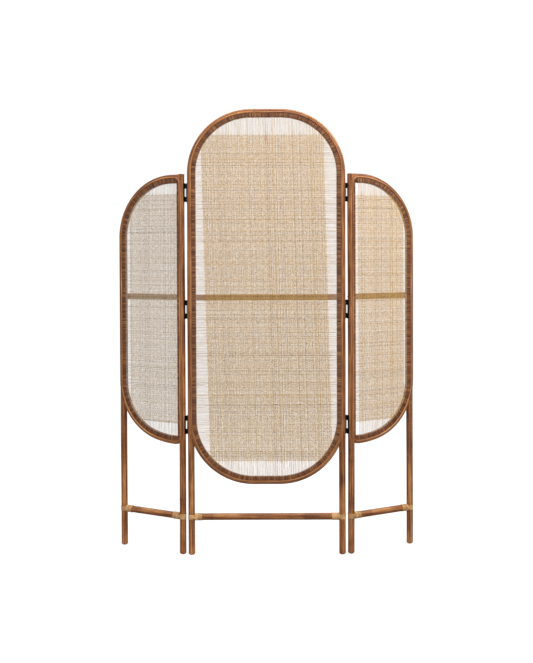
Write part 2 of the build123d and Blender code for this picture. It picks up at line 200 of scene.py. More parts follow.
def side_ring_route():
    """Round the outer face of a right-hand side ring, up its outer side first."""
    right, left = SIDE_OUTER_X - RING_INSET, HINGE_RING_X
    top = SIDE_TOP_RADIUS - RING_INSET
    shoulder = SIDE_HEIGHT - SIDE_TOP_RADIUS
    crown, bottom = SIDE_HEIGHT - RING_INSET, SIDE_RING_BOTTOM
    corner, sweep, hinge = SIDE_CORNER_RADIUS, SIDE_SWEEP_RADIUS, HINGE_CORNER_RADIUS
    corner_x = right - corner
    sweep_x = corner_x - (sweep - corner) * math.cos(SIDE_CORNER_ANGLE)
    corner_z = bottom + sweep - (sweep - corner) * math.sin(SIDE_CORNER_ANGLE)
    quarter = math.pi / 2
    return [
        line(right, corner_z, right, shoulder),
        arc(right - top, shoulder, top, 0, quarter),
        line(right - top, crown, left + hinge, crown),
        arc(left + hinge, crown - hinge, hinge, quarter, quarter),
        line(left, crown - hinge, left, bottom + hinge),
        arc(left + hinge, bottom + hinge, hinge, math.pi, quarter),
        line(left + hinge, bottom, sweep_x, bottom),
        arc(sweep_x, bottom + sweep, sweep, -quarter, quarter - SIDE_CORNER_ANGLE),
        arc(corner_x, corner_z, corner, -SIDE_CORNER_ANGLE, SIDE_CORNER_ANGLE),
    ]


def centre_pole_route():
    """Up the right leg, over the arch and down the left leg."""
    leg = CENTRE_HALF - POLE_RADIUS
    radius = CENTRE_TOP_RADIUS - POLE_RADIUS
    shoulder, crown = CENTRE_HEIGHT - CENTRE_TOP_RADIUS, CENTRE_HEIGHT - POLE_RADIUS
    return [
        line(leg, 0, leg, shoulder),
        arc(leg - radius, shoulder, radius, 0, math.pi / 2),
        line(leg - radius, crown, radius - leg, crown),
        arc(radius - leg, shoulder, radius, math.pi / 2, math.pi / 2),
        line(-leg, shoulder, -leg, 0),
    ]


def bent_pole_route():
    """Up the outer leg of a side panel and over to its hinge leg."""
    leg = SIDE_OUTER_X - POLE_RADIUS
    radius = SIDE_TOP_RADIUS - POLE_RADIUS
    shoulder, crown = SIDE_HEIGHT - SIDE_TOP_RADIUS, SIDE_HEIGHT - POLE_RADIUS
    return [
        line(leg, 0, leg, shoulder),
        arc(leg - radius, shoulder, radius, 0, math.pi / 2),
        line(leg - radius, crown, 0.4 * POLE_RADIUS, crown),
    ]


# ---------------------------------------------------------------- panels
class Panel:
    """One panel: how its flat frame lies in the scene, and how its rim runs."""

    def __init__(self, name, seed):
        self.name = name
        self.body = f"{name}_panel"
        self.mirror = -1 if name == "left" else 1
        self.seed = seed
        self.is_side = name != "centre"
        self.ring = side_ring_route() if self.is_side else centre_ring_route()
        self.ring_width = SIDE_RING_WIDTH if self.is_side else CENTRE_RING_WIDTH
        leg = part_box(f"{name}_hinge_leg" if self.is_side else "centre_pole")
        self.origin = (Vector(leg[0]) + Vector(leg[1])) / 2
        self.origin.x *= self.mirror
        self.angle = FOLD_AT_REST if self.is_side else 0.0

    def place(self, points):
        """Points (x, y, z) of the panel's frame, in the scene."""
        points = np.asarray(points, dtype=float)
        cos, sin = math.cos(self.angle), math.sin(self.angle)
        x = self.origin.x + points[:, 0] * cos - points[:, 1] * sin
        y = self.origin.y + points[:, 0] * sin + points[:, 1] * cos
        return np.stack([self.mirror * x, y, points[:, 2]], axis=1)

    def random(self, salt):
        """Random draws of the panel's own, the same ones in every run."""
        return np.random.default_rng(self.seed * 1000 + salt)

    def opening_inset(self, s):
        """How far in the opening begins. Beside the hinge leg the ring is narrower."""
        (x, z), (nx, nz) = route_at(self.ring, s)
        if not self.is_side or x > HINGE_CORNER_END:
            return self.ring_width
        gaps = []
        if nx > 0.02:
            gaps.append((HINGE_OPENING_X - x) / nx)
        if nz < -0.02:
            gaps.append((z - (SIDE_HEIGHT - RING_INSET - SIDE_RING_WIDTH)) / -nz)
        if nz > 0.02:
            gaps.append((SIDE_RING_BOTTOM + SIDE_RING_WIDTH - z) / nz)
        return max(gaps)

    def rim_inset(self, s, inset):
        """An inset from the ring's outer face, narrowed where the ring is narrower."""
        if inset <= BAND_START:
            return inset
        share = (inset - BAND_START) / (self.ring_width - BAND_START)
        return BAND_START + share * (self.opening_inset(s) - BAND_START)


def make_piece(panel, name, points, faces, material, attributes):
    """A mesh object from points of a panel's frame, riding on that panel's body."""
    if panel.mirror < 0:
        faces = [face[::-1] for face in faces]
    mesh = bpy.data.meshes.new(name)
    mesh.from_pydata([tuple(p) for p in panel.place(points)], [], faces)
    for key, values in attributes.items():
        values = np.asarray(values, dtype=np.float32)
        kind = "FLOAT_VECTOR" if values.ndim == 2 else "FLOAT"
        layer = mesh.attributes.new(key, kind, "POINT")
        layer.data.foreach_set("vector" if values.ndim == 2 else "value", values.ravel())
    mesh.polygons.foreach_set("use_smooth", [True] * len(mesh.polygons))
    mesh.materials.append(material)
    mesh.update()
    piece = bpy.data.objects.new(name, mesh)
    bpy.context.scene.collection.objects.link(piece)
    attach(piece, panel.body)
    return piece


def grid_faces(rows, columns, close_rows=False, close_columns=False, start=0):
    """The quads of a grid of points numbered row by row."""
    faces = []
    for row in range(rows if close_rows else rows - 1):
        below, above = row * columns, ((row + 1) % rows) * columns
        for column in range(columns if close_columns else columns - 1):
            beside = (column + 1) % columns
            quad = (below + column, below + beside, above + beside, above + column)
            faces.append(tuple(start + index for index in quad))
    return faces


# ---------------------------------------------------------------- poles
def node_places(length, random, spacing):
    """Arc lengths of the growth nodes along a rattan pole."""
    places = []
    s = spacing * random.uniform(0.2, 0.9)
    while s < length - 0.05:
        places.append(s)
        s += spacing * random.uniform(0.75, 1.3)
    return places


def pole_stations(length, nodes):
    """Arc lengths to model, closer together round each node and at the rounded ends."""
    stations = set(np.linspace(0, length, int(length / POLE_STEP) + 2).round(5))
    for node in nodes:
        stations.update((node + np.linspace(-0.012, 0.012, 9)).round(5))
    for end in (0, 1):
        near = np.array([0.0, 0.0004, 0.0012, 0.0025, 0.0038, 0.005, 0.0065])
        stations.update((length - near if end else near).round(5))
    return sorted(s for s in stations if 0 <= s <= length)


def end_cut(gap, size):
    """How far a pole's edge is cut back, at a distance from its end."""
    return size * max(0.0, 1 - gap / size) ** END_ROUNDING


def make_pole(panel, name, route, radius, material, salt, y=0.0, spacing=POLE_NODE_SPACING,
              wander=POLE_WANDER, cuts=(LEG_CUT, LEG_CUT)):
    """A rattan pole along a route, with its growth nodes and a slightly uneven thickness."""
    random = panel.random(salt)
    length = route_length(route)
    nodes = node_places(length, random, spacing)
    stations = pole_stations(length, nodes)
    around = np.arange(POLE_SIDES) * 2 * math.pi / POLE_SIDES
    phase = random.uniform(0, 6.28, 6)
    points, grain, scar = [], [], []
    for s in stations:
        (x, z), (nx, nz) = route_at(route, s)
        node_gap = min((abs(s - node) for node in nodes), default=1.0)
        ridge = math.exp(-((node_gap / NODE_RIDGE_REACH) ** 2))
        collar = math.exp(-((node_gap / NODE_COLLAR_REACH) ** 2))
        swell = 0.010 * math.sin(5.3 * s + phase[0]) + 0.006 * math.sin(17 * s + phase[1])
        swell += NODE_RIDGE_HEIGHT * ridge + NODE_COLLAR_HEIGHT * collar
        base = radius * min(POLE_MEAN + swell, POLE_THICKEST)
        base -= end_cut(s, cuts[0]) + end_cut(length - s, cuts[1])
        shift = wander * math.sin(3.1 * s + phase[2]) + 0.5 * wander * math.sin(8.7 * s + phase[3])
        shift_y = wander * math.sin(2.7 * s + phase[4])
        for angle in around:
            flute = 1 + 0.006 * math.sin(3 * angle + 2.1 * s + phase[5])
            side = base * flute * math.cos(angle) + shift
            back = y + shift_y + base * flute * math.sin(angle)
            points.append((x + nx * side, back, z + nz * side))
            grain.append((radius * math.cos(angle), radius * math.sin(angle), s + 3.0 * salt))
            scar.append(ridge)
    faces = grid_faces(len(stations), POLE_SIDES, close_columns=True)
    faces.append(tuple(range(POLE_SIDES))[::-1])
    last = (len(stations) - 1) * POLE_SIDES
    faces.append(tuple(range(last, last + POLE_SIDES)))
    return make_piece(panel, name, points, faces, material, {"grain": grain, "scar": scar})


def make_poles(panel, materials):
    """The poles and rails of one panel."""
    pole = materials["pole"]
    name = panel.name
    if panel.is_side:
        leg = [line(0, 0, 0, SIDE_HEIGHT)]
        piece = make_pole(panel, f"{name}_hinge_leg_rattan", leg, POLE_RADIUS, pole, 1,
                          cuts=(LEG_CUT, HINGE_LEG_TOP_CUT))
        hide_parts(f"{name}_hinge_leg")
        piece = make_pole(panel, f"{name}_bent_pole_rattan", bent_pole_route(), POLE_RADIUS, pole, 2)
        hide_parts(f"{name}_bent_pole")
        start, end = 0.0, SIDE_OUTER_X - POLE_RADIUS
    else:
        piece = make_pole(panel, "centre_pole_rattan", centre_pole_route(), POLE_RADIUS, pole, 3)
        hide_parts("centre_pole")
        end = CENTRE_HALF - POLE_RADIUS
        start = -end
    inside = 0.45 * POLE_RADIUS
    rails = (("crossbar", CROSSBAR_HEIGHT, CROSSBAR_RADIUS, CROSSBAR_Y, 4),
             ("stretcher", STRETCHER_HEIGHT, POLE_RADIUS, 0.0, 5))
    for rail, height, radius, y, salt in rails:
        route = [line(start + inside, height, end - inside, height)]
        # The crossbar takes a darker, redder copy of the rattan: painted shade, for where it lies
        # behind the cloth.
        stained = materials["crossbar"] if rail == "crossbar" else pole
        piece = make_pole(panel, f"{name}_{rail}_rattan", route, radius, stained, salt, y,
                          RAIL_NODE_SPACING, RAIL_WANDER)
        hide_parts(f"{name}_{rail}")


# ---------------------------------------------------------------- rim
def sweep_rim(panel, name, profile, step, material, salt, uneven=0.0):
    """A closed profile of (inset, depth) points swept right round a panel's ring."""
    random = panel.random(salt)
    length = route_length(panel.ring)
    count = int(length / step)
    phase = random.uniform(0, 6.28, 3)
    points, grain = [], []
    around = np.cumsum([0] + [math.dist(a, b) for a, b in zip(profile, profile[1:])])
    for index in range(count):
        s = length * index / count
        (x, z), (nx, nz) = route_at(panel.ring, s)
        wave = uneven * (math.sin(61 * s + phase[0]) + 0.6 * math.sin(143 * s + phase[1]))
        for (inset, depth), across in zip(profile, around):
            inset = panel.rim_inset(s, inset + wave)
            points.append((x + nx * inset, -depth, z + nz * inset))
            grain.append((across, 0.37 * salt, s))
    faces = grid_faces(count, len(profile), close_rows=True, close_columns=True)
    return make_piece(panel, name, points, faces, material, {"grain": grain})


def rounded_box_profile(left, right, back, front, radii):
    """A rectangle of insets and depths with rounded corners, from the back outer corner."""
    corners = ((left, back, 1, 1, 180), (right, back, -1, 1, 270),
               (right, front, -1, -1, 0), (left, front, 1, -1, 90))
    profile = []
    for (inset, depth, side, up, start), radius in zip(corners, radii):
        for step in range(4):
            angle = math.radians(start + 30 * step)
            centre_inset, centre_depth = inset + side * radius, depth + up * radius
            profile.append((centre_inset + radius * math.cos(angle),
                            centre_depth + radius * math.sin(angle)))
    return profile


def make_ring(panel, material):
    """The flattened ring let into the front of the poles."""
    profile = rounded_box_profile(0, panel.ring_width, RING_BACK, RING_FRONT,
                                  (1.5 * MM, 2 * MM, 2 * MM, 4 * MM))
    piece = sweep_rim(panel, f"{panel.name}_ring_rattan", profile, 0.012, material, 11)
    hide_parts(f"{panel.name}_ring")


def make_bead(panel, material):
    """The half-round rim in front of the ring."""
    profile = []
    for step in range(9):
        angle = math.radians(-12 + 204 * step / 8)
        profile.append((BEAD_MIDDLE - BEAD_RADIUS * math.cos(angle),
                        RING_FRONT + BEAD_RADIUS * math.sin(angle)))
    piece = sweep_rim(panel, f"{panel.name}_bead_rattan", profile, 0.008, material, 12,
                      uneven=0.12 * MM)
    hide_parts(f"{panel.name}_bead")


def band_path(panel, s):
    """The section of one winding: over the front, the inner wall and the back of the ring."""
    inner, front, back = panel.ring_width + 0.9 * MM, BAND_FRONT, RING_BACK - 0.9 * MM
    path = [(BAND_START + 0.3 * MM, front - 0.5 * MM), (BAND_START + 2 * MM, front)]
    path += [(inner - 3 * MM, front), (inner - 0.9 * MM, front - 0.5 * MM)]
    path += [(inner, front - 2.4 * MM), (inner, back + 2.4 * MM)]
    path += [(inner - 0.9 * MM, back + 0.5 * MM), (inner - 3 * MM, back)]
    path += [(BAND_START + 1 * MM, back)]
    return [(panel.rim_inset(s, inset), depth) for inset, depth in path]


def band_turn(panel, middle, half, lift, slant):
    """The points of one turn, five across and crowned, and how far each is from its middle."""
    length = route_length(panel.ring)
    points, sides = [], []
    path = band_path(panel, middle)
    for step, (inset, depth) in enumerate(path):
        lean = slant * (step / (len(path) - 1) - 0.5)
        for across, crown in ((-1, -0.55), (-0.55, 0.1), (0, 0.3), (0.55, 0.1), (1, -0.55)):
            s = (middle + lean + across * half) % length
            (x, z), (nx, nz) = route_at(panel.ring, s)
            out = (lift + crown * MM) if 0 < step < len(path) - 1 else -0.3 * MM
            on_inner_wall = 3 < step < 6
            spread = inset + (out if on_inner_wall else 0)
            raise_by = 0 if on_inner_wall else (out if step <= 3 else -out)
            points.append((x + nx * spread, -(depth + raise_by), z + nz * spread))
            sides.append((across * half, 0.003 * step))
    return points, sides, len(path)


def make_band(panel, material):
    """Thread wound round the inner part of the ring, one raised turn beside the next."""
    random = panel.random(21)
    length = route_length(panel.ring)
    turns = int(length / BAND_PITCH)
    points, faces, tone, grain = [], [], [], []
    for turn in range(turns):
        middle = (turn + random.uniform(-0.16, 0.16)) * length / turns
        half = BAND_PITCH * random.uniform(0.43, 0.53)
        lift = random.uniform(-0.25, 0.25) * MM
        slant = random.uniform(0.6, 2.6) * MM
        shade = random.uniform(0, 1)
        turn_points, sides, rows = band_turn(panel, middle, half, lift, slant)
        faces += grid_faces(rows, 5, start=len(points))
        points += turn_points
        tone += [shade] * len(turn_points)
        grain += [(*side, turn * 0.031) for side in sides]
    piece = make_piece(panel, f"{panel.name}_band_winding", points, faces, material,
                       {"tone": tone, "grain": grain})
    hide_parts(f"{panel.name}_band")


# ---------------------------------------------------------------- cloth
class Weave:
    """One cloth: the x its warp spans, the z its weft spans, the warp's slope in x for each
    metre down, and the share of the pitch that a thread covers, from least to most."""

    def __init__(self, warp, weft, lean, cover):
        self.warp = warp
        self.weft = weft
        self.lean = lean
        self.cover = cover

    def height(self):
        return self.weft[1] - self.weft[0]


WEAVES = {
    "centre": Weave((-0.262, 0.232), (0.381, 1.695), 0.026, (0.41, 0.55)),
    "left": Weave((0.012, 0.248), (0.531, 1.461), 0.0, (0.38, 0.52)),
    "right": Weave((0.024, 0.249), (0.535, 1.453), 0.006, (0.38, 0.52)),
}


def opening_outline(panel):
    """Points round the edge of a panel's opening, a little under the band."""
    length = route_length(panel.ring)
    outline = []
    for s in np.linspace(0, length, OUTLINE_POINTS, endpoint=False):
        (x, z), (nx, nz) = route_at(panel.ring, s)
        inset = panel.opening_inset(s) - THREAD_TUCK
        outline.append((x + nx * inset, z + nz * inset))
    return np.array(outline)


def span_at(outline, axis, value):
    """The lowest and highest crossing of a closed outline with a line at a set x or z."""
    along, other = outline[:, axis], outline[:, 1 - axis]
    after_along, after_other = np.roll(along, -1), np.roll(other, -1)
    crosses = (along - value) * (after_along - value) <= 0
    crosses &= along != after_along
    if crosses.sum() < 2:
        return None
    share = (value - along[crosses]) / (after_along[crosses] - along[crosses])
    hits = other[crosses] + share * (after_other[crosses] - other[crosses])
    return hits.min(), hits.max()


def thread_places(low, high, uneven, random):
    """Places for threads at an uneven pitch, a little crowded here and a little loose there."""
    count = int((high - low) / THREAD_PITCH)
    places = low + THREAD_PITCH * (np.arange(count) + 0.5)
    return places + random.normal(0, uneven, count) * THREAD_PITCH


def smooth_noise(places, random, size):
    """Slow random variation along a thread, about 1 high, with bumps of the given size."""
    total = np.zeros(len(places))
    for share in (1.0, 0.61, 0.37):
        wave = 2 * math.pi / (size * share * random.uniform(1.6, 2.6))
        total += np.sin(wave * places + random.uniform(0, 6.28)) * share ** 0.5
    return total / 1.7


def make_threads(panel, name, threads, material):
    """Flat threads, each a list of (x, z, lift) points, half widths, a tone and what is woven."""
    points, faces, tone, grain, woven = [], [], [], [], []
    for number, (path, halves, shade, crossed) in enumerate(threads):
        way = np.gradient(path[:, :2], axis=0)
        way /= np.linalg.norm(way, axis=1)[:, None] + 1e-12
        run = np.concatenate([[0], np.linalg.norm(np.diff(path[:, :2], axis=0), axis=1).cumsum()])
        start = len(points)
        for (x, z, lift), half, (wx, wz), along in zip(path, halves, way, run):
            depth = CLOTH_DEPTH + lift
            points.append((x + wz * half, -depth, z - wx * half))
            points.append((x - wz * half, -depth, z + wx * half))
            grain += [(-half, number * 0.37, along), (half, number * 0.37, along)]
        tone += [shade] * (2 * len(path))
        woven += list(np.repeat(crossed, 2))
        faces += grid_faces(len(path), 2, start=start)
    return make_piece(panel, name, points, faces, material,
                      {"tone": tone, "grain": grain, "woven": woven})


def thread_stops(low, high, crossings):
    """Where a thread has points: at each crossing, and at a wider step where it runs free."""
    inside = [value for value in crossings if low < value < high]
    before = np.arange(low, inside[0] if inside else high, THREAD_FREE_STEP)
    after = np.arange(inside[-1], high, THREAD_FREE_STEP)[1:] if inside else np.array([])
    stops = np.concatenate([before, inside, after, [high]])
    crossed = np.zeros(len(stops))
    crossed[len(before):len(before) + len(inside)] = 1
    return stops, crossed, len(before)


def thread_span(weave, outline, place, others, upright):
    """Both ends of a thread and the places where it crosses the other set, or None."""
    if upright:
        foot = span_at(outline, 0, place + weave.lean * weave.height())
        head = span_at(outline, 0, place)
        return None if None in (head, foot) else (foot[0], head[1], others)
    ends = span_at(outline, 1, place)
    return None if ends is None else (*ends, others + weave.lean * (weave.weft[1] - place))


def lay_threads(weave, outline, own, others, upright, random):
    """One set of threads: woven over and under the other set, and free beyond it."""
    threads = []
    for number, place in enumerate(own):
        span = thread_span(weave, outline, place, others, upright)
        if span is None:
            continue
        low, high, crossings = span
        stops, crossed, first = thread_stops(low, high, crossings)
        if len(stops) < 4:
            continue
        # Each stop's number in the other set, so that neighbouring threads alternate.
        met = np.arange(len(stops)) - first + np.searchsorted(crossings, low)
        lift = THREAD_LIFT * crossed * (1 - 2 * ((met + number + upright) % 2))
        sway = THREAD_SWAY * smooth_noise(stops, random, THREAD_SWAY_LENGTH)
        if upright:
            across = place + weave.lean * (weave.weft[1] - stops) + sway
            path = np.stack([across, stops, lift], axis=1)
        else:
            path = np.stack([stops, place + sway - sway.mean(), lift], axis=1)
        share = random.uniform(*weave.cover)
        if random.uniform() < THICK_THREAD_CHANCE:
            share *= THICK_THREAD_WIDTH
        uneven = THREAD_WIDTH_CHANGE * smooth_noise(stops, random, THREAD_WIDTH_LENGTH)
        uneven += random.normal(0, THREAD_WIDTH_JITTER, len(stops))
        halves = THREAD_PITCH * share / 2 * (1 + np.clip(uneven, -0.5, 0.5))
        dark = random.uniform() < DARK_THREAD_CHANCE
        shade = random.uniform(0, 0.15) if dark else random.uniform(0.4, 1)
        threads.append((path, halves, shade, crossed))
    return threads


def make_cloth(panel, material):
    """The sheer raffia cloth: two sets of threads, each woven over and under the other."""
    weave = WEAVES[panel.name]
    random = panel.random(31)
    outline = opening_outline(panel)
    warps = thread_places(*weave.warp, WARP_UNEVEN, random)
    wefts = thread_places(*weave.weft, WEFT_UNEVEN, random)
    threads = lay_threads(weave, outline, warps, wefts, True, random)
    threads += lay_threads(weave, outline, wefts, warps, False, random)
    piece = make_threads(panel, f"{panel.name}_cloth_threads", threads, material)
    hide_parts(f"{panel.name}_cloth")


# ---------------------------------------------------------------- bindings
class Strips:
    """Crowned strips of peel, gathered into one mesh."""

    def __init__(self, salt):
        self.salt = salt
        self.points, self.faces, self.tone, self.grain = [], [], [], []

    def add(self, centres, outs, width, shade):
        """One strip along the centres, with its outer face turned the way of outs."""
        self.faces += grid_faces(len(centres), 5, start=len(self.points))
        run = 0.0
        for index, (centre, out) in enumerate(zip(centres, outs)):
            before = centres[max(index - 1, 0)]
            after = centres[min(index + 1, len(centres) - 1)]
            side = (after - before).cross(out).normalized()
            run += (centre - before).length
            for across, crown in ((-1, -0.25), (-0.6, 0.2), (0, 0.35), (0.6, 0.2), (1, -0.25)):
                point = centre + side * (across * width / 2) + out * (crown * MM)
                self.points.append(tuple(point))
                self.tone.append(shade)
                self.grain.append((across * width / 2, self.salt * 0.01 + shade * 0.05, run))


def wind_leg(strips, leg_x, random):
    """Turns round the leg, at the height of the stretcher."""
    for turn in range(LEG_TURNS):
        z = STRETCHER_HEIGHT + (turn - (LEG_TURNS - 1) / 2) * LEG_TURN_PITCH
        tilt = random.uniform(-0.6, 0.6) * MM
        centres, outs = [], []
        for step in range(PEEL_STEPS + 1):
            angle = 2 * math.pi * step / PEEL_STEPS
            out = Vector((math.cos(angle), math.sin(angle), 0))
            middle = Vector((leg_x, 0, z + tilt * math.sin(angle)))
            centres.append(middle + out * (POLE_RADIUS + 0.45 * MM))
            outs.append(out)
        strips.add(centres, outs, LEG_TURN_WIDTH, random.uniform(0, 1))


def wind_rail(strips, leg_x, outward, random):
    """Turns round the end of the stretcher."""
    for turn in range(RAIL_TURNS):
        x = leg_x - outward * (POLE_RADIUS + (turn + 0.45) * RAIL_TURN_PITCH)
        tilt = random.uniform(-0.8, 0.8) * MM
        centres, outs = [], []
        for step in range(PEEL_STEPS + 1):
            angle = 2 * math.pi * step / PEEL_STEPS
            out = Vector((0, math.cos(angle), math.sin(angle)))
            middle = Vector((x + tilt * math.sin(angle), 0, STRETCHER_HEIGHT))
            centres.append(middle + out * (POLE_RADIUS + 0.8 * MM))
            outs.append(out)
        strips.add(centres, outs, RAIL_TURN_WIDTH, random.uniform(0, 1))


def cross_joint(strips, leg_x, outward, random):
    """Crossings from the leg's far side over the joint, in front and behind."""
    for face, up in ((-1, -1), (-1, 1), (1, -1), (1, 1)):
        centres, outs = [], []
        for step in range(CROSSING_STEPS + 1):
            share = step / CROSSING_STEPS
            x = leg_x + outward * POLE_RADIUS * (0.75 - 2.6 * share)
            z = STRETCHER_HEIGHT + up * (8.5 - 17 * share) * MM
            leg_gap = min(abs(x - leg_x) / POLE_RADIUS, 1)
            rail_gap = min(abs(z - STRETCHER_HEIGHT) / POLE_RADIUS, 1)
            leg_y = math.sqrt(1 - leg_gap ** 2)
            rail_y = math.sqrt(1 - rail_gap ** 2) if (leg_x - x) * outward > 0 else 0
            y = face * (max(leg_y, rail_y) * POLE_RADIUS + (1.25 + 0.25 * up) * MM)
            centres.append(Vector((x, y, z)))
            slope = Vector(((x - leg_x) * (1 if leg_y >= rail_y else 0), y, 0))
            outs.append(slope.normalized())
        strips.add(centres, outs, CROSSING_WIDTH, random.uniform(0, 1))


def make_binding(panel, name, node, leg_x, outward, material, salt):
    """Peel wound round a leg and round the end of its rail, and crossed between them."""
    random = panel.random(salt)
    strips = Strips(salt)
    wind_leg(strips, leg_x, random)
    wind_rail(strips, leg_x, outward, random)
    cross_joint(strips, leg_x, outward, random)
    piece = make_piece(panel, name, strips.points, strips.faces, material,
                       {"tone": strips.tone, "grain": strips.grain})
    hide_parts(node)


def make_bindings(panel, material):
    """Both bindings of one panel."""
    name = panel.name
    if panel.is_side:
        make_binding(panel, f"{name}_hinge_leg_peel", f"{name}_hinge_binding", 0.0, -1, material, 41)
        outer = SIDE_OUTER_X - POLE_RADIUS
        make_binding(panel, f"{name}_outer_leg_peel", f"{name}_outer_binding", outer, 1, material, 42)
        return
    leg = CENTRE_HALF - POLE_RADIUS
    make_binding(panel, "centre_left_leg_peel", "centre_left_binding", -leg, -1, material, 43)
    make_binding(panel, "centre_right_leg_peel", "centre_right_binding", leg, 1, material, 44)


# ---------------------------------------------------------------- materials
def feed(tree, socket, value):
    """Set a socket to a number or a colour, or link another node's output to it."""
    if isinstance(value, (int, float)):
        socket.default_value = value
    elif isinstance(value, tuple):
        socket.default_value = (*value, 1)
    else:
        tree.links.new(value, socket)


def math_node(tree, operation, first, second):
    """The output of a math node fed with two numbers or links."""
    made = tree.nodes.new("ShaderNodeMath")
    made.operation = operation
    feed(tree, made.inputs[0], first)
    feed(tree, made.inputs[1], second)
    return made.outputs[0]


class Nodes:
    """Short calls that build a material's node tree."""

    def __init__(self, name):
        self.material = bpy.data.materials.new(name)
        self.material.use_nodes = True
        self.tree = self.material.node_tree
        self.shader = self.tree.nodes["Principled BSDF"]

    def node(self, kind, **settings):
        made = self.tree.nodes.new(kind)
        for key, value in settings.items():
            setattr(made, key, value)
        return made

    def link(self, source, target):
        self.tree.links.new(source, target)

    def attribute(self, name):
        return self.node("ShaderNodeAttribute", attribute_name=name)

    def mapped(self, source, scale):
        mapping = self.node("ShaderNodeMapping")
        mapping.inputs["Scale"].default_value = scale
        self.link(source, mapping.inputs["Vector"])
        return mapping.outputs["Vector"]

    def noise(self, vector, scale, detail, roughness):
        made = self.node("ShaderNodeTexNoise")
        made.inputs["Scale"].default_value = scale
        made.inputs["Detail"].default_value = detail
        made.inputs["Roughness"].default_value = roughness
        self.link(vector, made.inputs["Vector"])
        return made.outputs["Fac"]

    def ramp(self, source, stops):
        made = self.node("ShaderNodeValToRGB")
        elements = made.color_ramp.elements
        while len(elements) < len(stops):
            elements.new(0.5)
        for element, (place, colour) in zip(elements, stops):
            element.position = place
            element.color = (*colour, 1)
        self.link(source, made.inputs["Fac"])
        return made.outputs["Color"]

    def mix(self, kind, factor, first, second):
        made = self.node("ShaderNodeMix", data_type="RGBA", blend_type=kind)
        feed(self.tree, made.inputs[0], factor)
        feed(self.tree, made.inputs[6], first)
        feed(self.tree, made.inputs[7], second)
        return made.outputs[2]

    def math(self, operation, first, second):
        return math_node(self.tree, operation, first, second)

    def bump(self, height, strength, distance):
        made = self.node("ShaderNodeBump")
        made.inputs["Strength"].default_value = strength
        made.inputs["Distance"].default_value = distance
        self.link(height, made.inputs["Height"])
        self.link(made.outputs["Normal"], self.shader.inputs["Normal"])

    def colour(self, source):
        self.link(source, self.shader.inputs["Base Color"])

    def roughness(self, source, low, high):
        made = self.node("ShaderNodeMapRange")
        made.inputs["To Min"].default_value = low
        made.inputs["To Max"].default_value = high
        self.link(source, made.inputs["Value"])
        self.link(made.outputs["Result"], self.shader.inputs["Roughness"])


def rattan_material(name, dark, middle, light):
    """Stained rattan: streaks along the pole, slow patches, and dark growth scars."""
    nodes = Nodes(name)
    grain = nodes.attribute("grain").outputs["Vector"]
    broad = nodes.noise(nodes.mapped(grain, (1.0, 1.0, 0.02)), 210, 3, 0.55)
    streaks = nodes.noise(nodes.mapped(grain, (1.0, 1.0, 0.03)), 700, 4, 0.6)
    flecks = nodes.noise(nodes.mapped(grain, (1.0, 1.0, 0.10)), 900, 2, 0.5)
    patches = nodes.noise(nodes.mapped(grain, (0.5, 0.5, 0.6)), 16, 3, 0.5)
    mottled = nodes.math("ADD", nodes.math("MULTIPLY", broad, 0.50),
                         nodes.math("MULTIPLY", streaks, 0.30))
    mottled = nodes.math("ADD", mottled, nodes.math("MULTIPLY", patches, 0.20))
    colour = nodes.ramp(mottled, [(0.40, dark), (0.5, middle), (0.60, light)])
    pits = nodes.ramp(flecks, [(0.30, (0.45, 0.40, 0.38)), (0.40, (1, 1, 1))])
    colour = nodes.mix("MULTIPLY", 0.8, colour, pits)
    scar = nodes.attribute("scar").outputs["Fac"]
    scarred = nodes.mix("MULTIPLY", nodes.math("MULTIPLY", scar, 0.55), colour, (0.45, 0.36, 0.30))
    nodes.colour(scarred)
    nodes.roughness(streaks, 0.36, 0.58)
    nodes.bump(nodes.math("ADD", flecks, streaks), 0.35, 0.0006)
    nodes.shader.inputs["Coat Weight"].default_value = 0.10
    nodes.shader.inputs["Coat Roughness"].default_value = 0.28
    nodes.shader.inputs["Specular IOR Level"].default_value = 0.35
    return nodes.material


def strand_material(name, colours, roughness, bump_distance, tone_share=0.5, patch_size=60):
    """Peel or winding: one tone for each strand, with fine fibres along it."""
    nodes = Nodes(name)
    tone = nodes.attribute("tone").outputs["Fac"]
    grain = nodes.attribute("grain").outputs["Vector"]
    fibres = nodes.noise(nodes.mapped(grain, (1.0, 1.0, 0.04)), 1800, 3, 0.6)
    patches = nodes.noise(grain, patch_size, 2, 0.5)
    rest = (1 - tone_share) / 2
    mixed = nodes.math("ADD", nodes.math("MULTIPLY", tone, tone_share),
                       nodes.math("ADD", nodes.math("MULTIPLY", fibres, rest),
                                  nodes.math("MULTIPLY", patches, rest)))
    count = len(colours) - 1
    stops = [(0.2 + 0.6 * index / count, colour) for index, colour in enumerate(colours)]
    nodes.colour(nodes.ramp(mixed, stops))
    nodes.roughness(fibres, roughness[0], roughness[1])
    nodes.bump(fibres, 0.4, bump_distance)
    return nodes.material


def add_mark(nodes, colour):
    """A small brown mark grown into the raffia. It shows on every thread it passes."""
    where = nodes.node("ShaderNodeVectorMath", operation="SUBTRACT")
    nodes.link(nodes.node("ShaderNodeNewGeometry").outputs["Position"], where.inputs[0])
    where.inputs[1].default_value = MARK_PLACE
    scaled = nodes.mapped(where.outputs["Vector"], tuple(1 / value for value in MARK_SIZE))
    reach = nodes.node("ShaderNodeVectorMath", operation="LENGTH")
    nodes.link(scaled, reach.inputs[0])
    inside = nodes.ramp(reach.outputs["Value"], [(0.6, (1, 1, 1)), (1.0, (0, 0, 0))])
    return nodes.mix("MIX", inside, colour, MARK_COLOUR)


